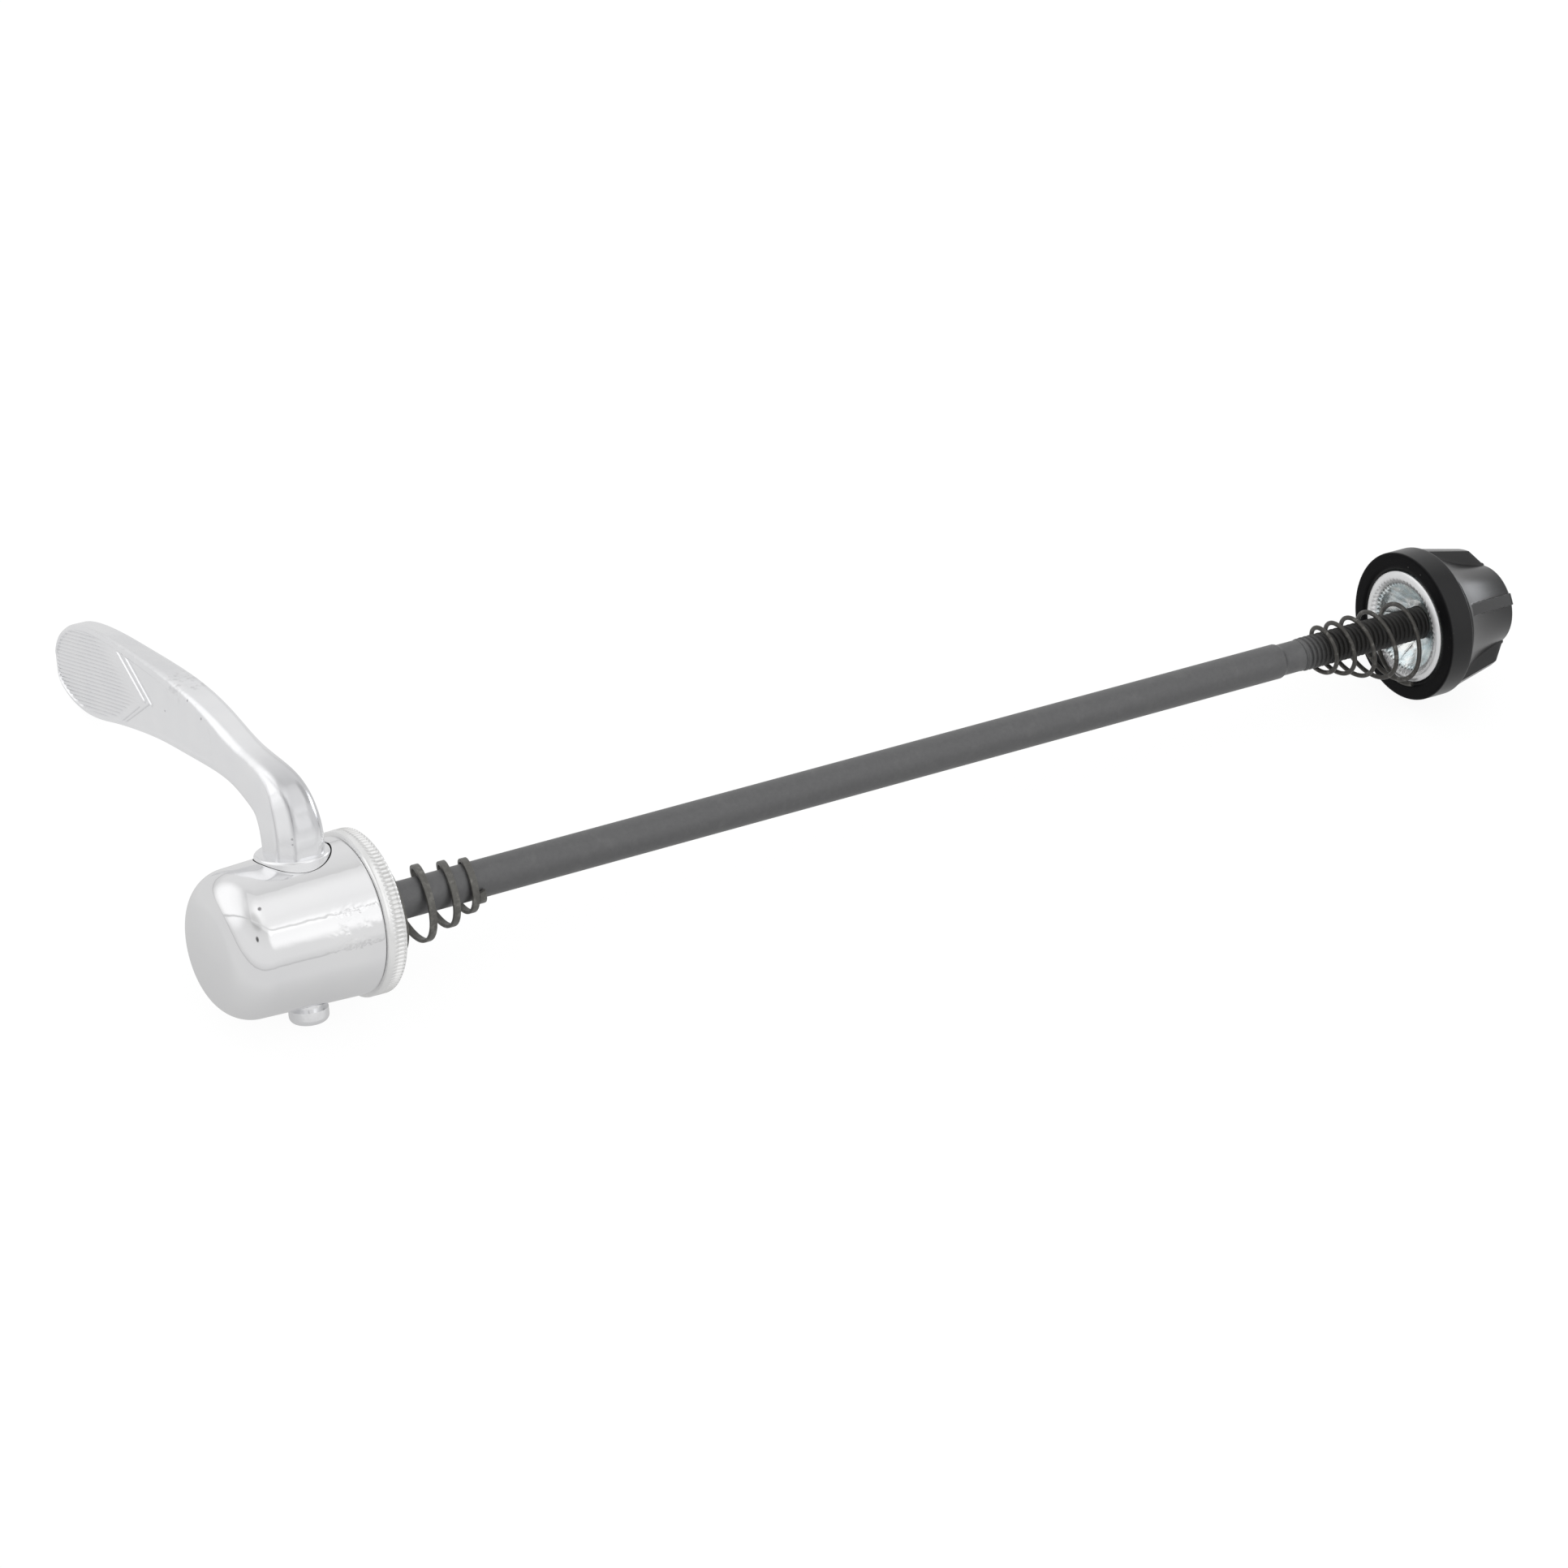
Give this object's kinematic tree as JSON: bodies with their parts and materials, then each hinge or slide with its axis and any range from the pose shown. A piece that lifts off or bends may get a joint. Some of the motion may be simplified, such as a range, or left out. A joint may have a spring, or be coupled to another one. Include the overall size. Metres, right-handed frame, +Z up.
{
  "type": "quick release skewer",
  "caption": "Quick release axle skewer: a thin rod with a cam lever and round housing at one end, a threaded finger nut at the other, and a conical spring beside each.",
  "frame": {"origin": "centre of the rod at the lever-side clamping face", "axes": "+X along the rod towards the nut, +Z up as the part lies on a flat surface with its lever closed"},
  "size_m": [0.2092, 0.0769, 0.0298],
  "materials": {
    "polished_aluminium": "polished",
    "cast_aluminium": "satin casting with polished edges",
    "plated_steel": "knurled and plated",
    "dark_steel": "dark phosphate",
    "spring_steel": "dark, scuffed",
    "zinc_steel": "bright zinc",
    "black_plastic": "satin"
  },
  "bodies": {
    "housing": {"cam_housing": "polished_aluminium", "serrated_ring": "plated_steel", "lever_spring": "spring_steel"},
    "lever": {"lever": "cast_aluminium"},
    "rod": {"skewer_rod": "dark_steel"},
    "nut_carriage": {"nut_spring": "spring_steel"},
    "nut": {"nut_insert": "zinc_steel", "nut_body": "black_plastic"}
  },
  "joints": [
    {"name": "lever_pivot", "type": "hinge", "parent": "housing", "child": "lever", "pos_m": [-0.0096, 0, 0], "axis": [0, 0.475, 0.88], "range_deg": [0, 180]},
    {"name": "rod_pull", "type": "slide", "parent": "housing", "child": "rod", "axis": [1, 0, 0], "range_m": [0, 0.0026]},
    {"name": "nut_travel", "type": "slide", "parent": "rod", "child": "nut_carriage", "axis": [-1, 0, 0], "range_m": [0, 0.016]},
    {"name": "nut_turn", "type": "hinge", "parent": "nut_carriage", "child": "nut", "pos_m": [0.1711, 0, 0], "axis": [-1, 0, 0], "range_deg": [0, 7200]}
  ],
  "couplings": [
    {"joint": "rod_pull", "follows": "lever_pivot", "m_per_rad": 0.000827},
    {"joint": "nut_travel", "follows": "nut_turn", "m_per_rad": 0.00012732}
  ]
}
